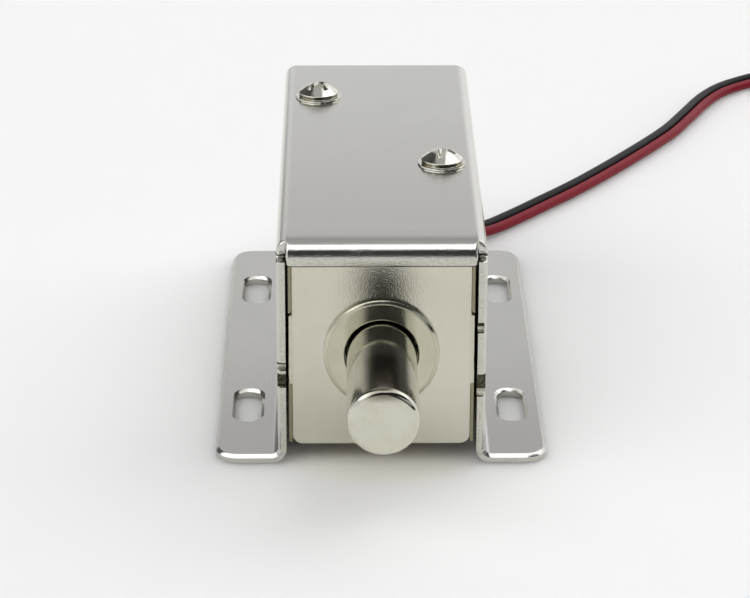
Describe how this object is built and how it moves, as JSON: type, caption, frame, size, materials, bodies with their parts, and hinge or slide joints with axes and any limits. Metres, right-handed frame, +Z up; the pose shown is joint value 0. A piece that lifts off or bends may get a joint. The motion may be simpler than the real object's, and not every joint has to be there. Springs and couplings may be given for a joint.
{
  "type": "cabinet lock",
  "caption": "Solenoid cabinet lock: a round sprung bolt in a bush on a square front plate, in a folded hat-section steel cover with slotted flanges, and a twin lead to a small plug.",
  "frame": {"origin": "on the mounting surface, below the middle of the lock's box with the bolt out", "axes": "+Z up from the mounting surface, -Y along the bolt out of the lock, +X to the right seen from the bolt's side"},
  "size_m": [0.1072, 0.1611, 0.0293],
  "materials": {
    "nickel_sheet": "satin nickel plate on folded steel sheet",
    "plated_frame": "matt warm nickel plate",
    "turned_nickel": "turned and nickel plated",
    "screw_nickel": "bright nickel plate",
    "spring_steel": "drawn spring wire",
    "brass": "drawn tube",
    "copper_winding": "enamelled copper wire",
    "bobbin_nylon": "moulded nylon",
    "coil_tape": "polyester tape",
    "rubber": "matt rubber",
    "black_lead": "pvc insulation",
    "red_lead": "pvc insulation",
    "shrink_sleeve": "shrunk sleeve",
    "tie_nylon": "moulded nylon",
    "connector_nylon": "moulded nylon",
    "tinned_contact": "tinned brass sheet"
  },
  "bodies": {
    "lock_body": {"cover": "nickel_sheet", "yoke": "plated_frame", "front_plate": "plated_frame", "rear_plate": "plated_frame", "bolt_bush": "turned_nickel", "fixed_core": "turned_nickel", "return_spring": "spring_steel", "guide_sleeve": "brass", "bobbin": "bobbin_nylon", "coil_winding": "copper_winding", "coil_tape": "coil_tape", "screw_rear_left": "screw_nickel", "screw_front_right": "screw_nickel", "lead_black": "black_lead", "lead_red": "red_lead", "lead_coil": "black_lead", "lead_tail_black": "black_lead", "lead_tail_red": "red_lead", "lead_tie": "tie_nylon", "splice_black": "shrink_sleeve", "splice_red": "shrink_sleeve", "connector_housing": "connector_nylon", "contact_black": "tinned_contact", "contact_red": "tinned_contact"},
    "bolt_body": {"bolt": "turned_nickel", "damping_ring": "rubber"}
  },
  "joints": [
    {"name": "bolt_slide", "type": "slide", "parent": "lock_body", "child": "bolt_body", "axis": [0, 1, 0], "range_m": [0, 0.01], "stiffness_N_per_m": 150, "springref_m": -0.008, "deforming": ["return_spring"]}
  ]
}
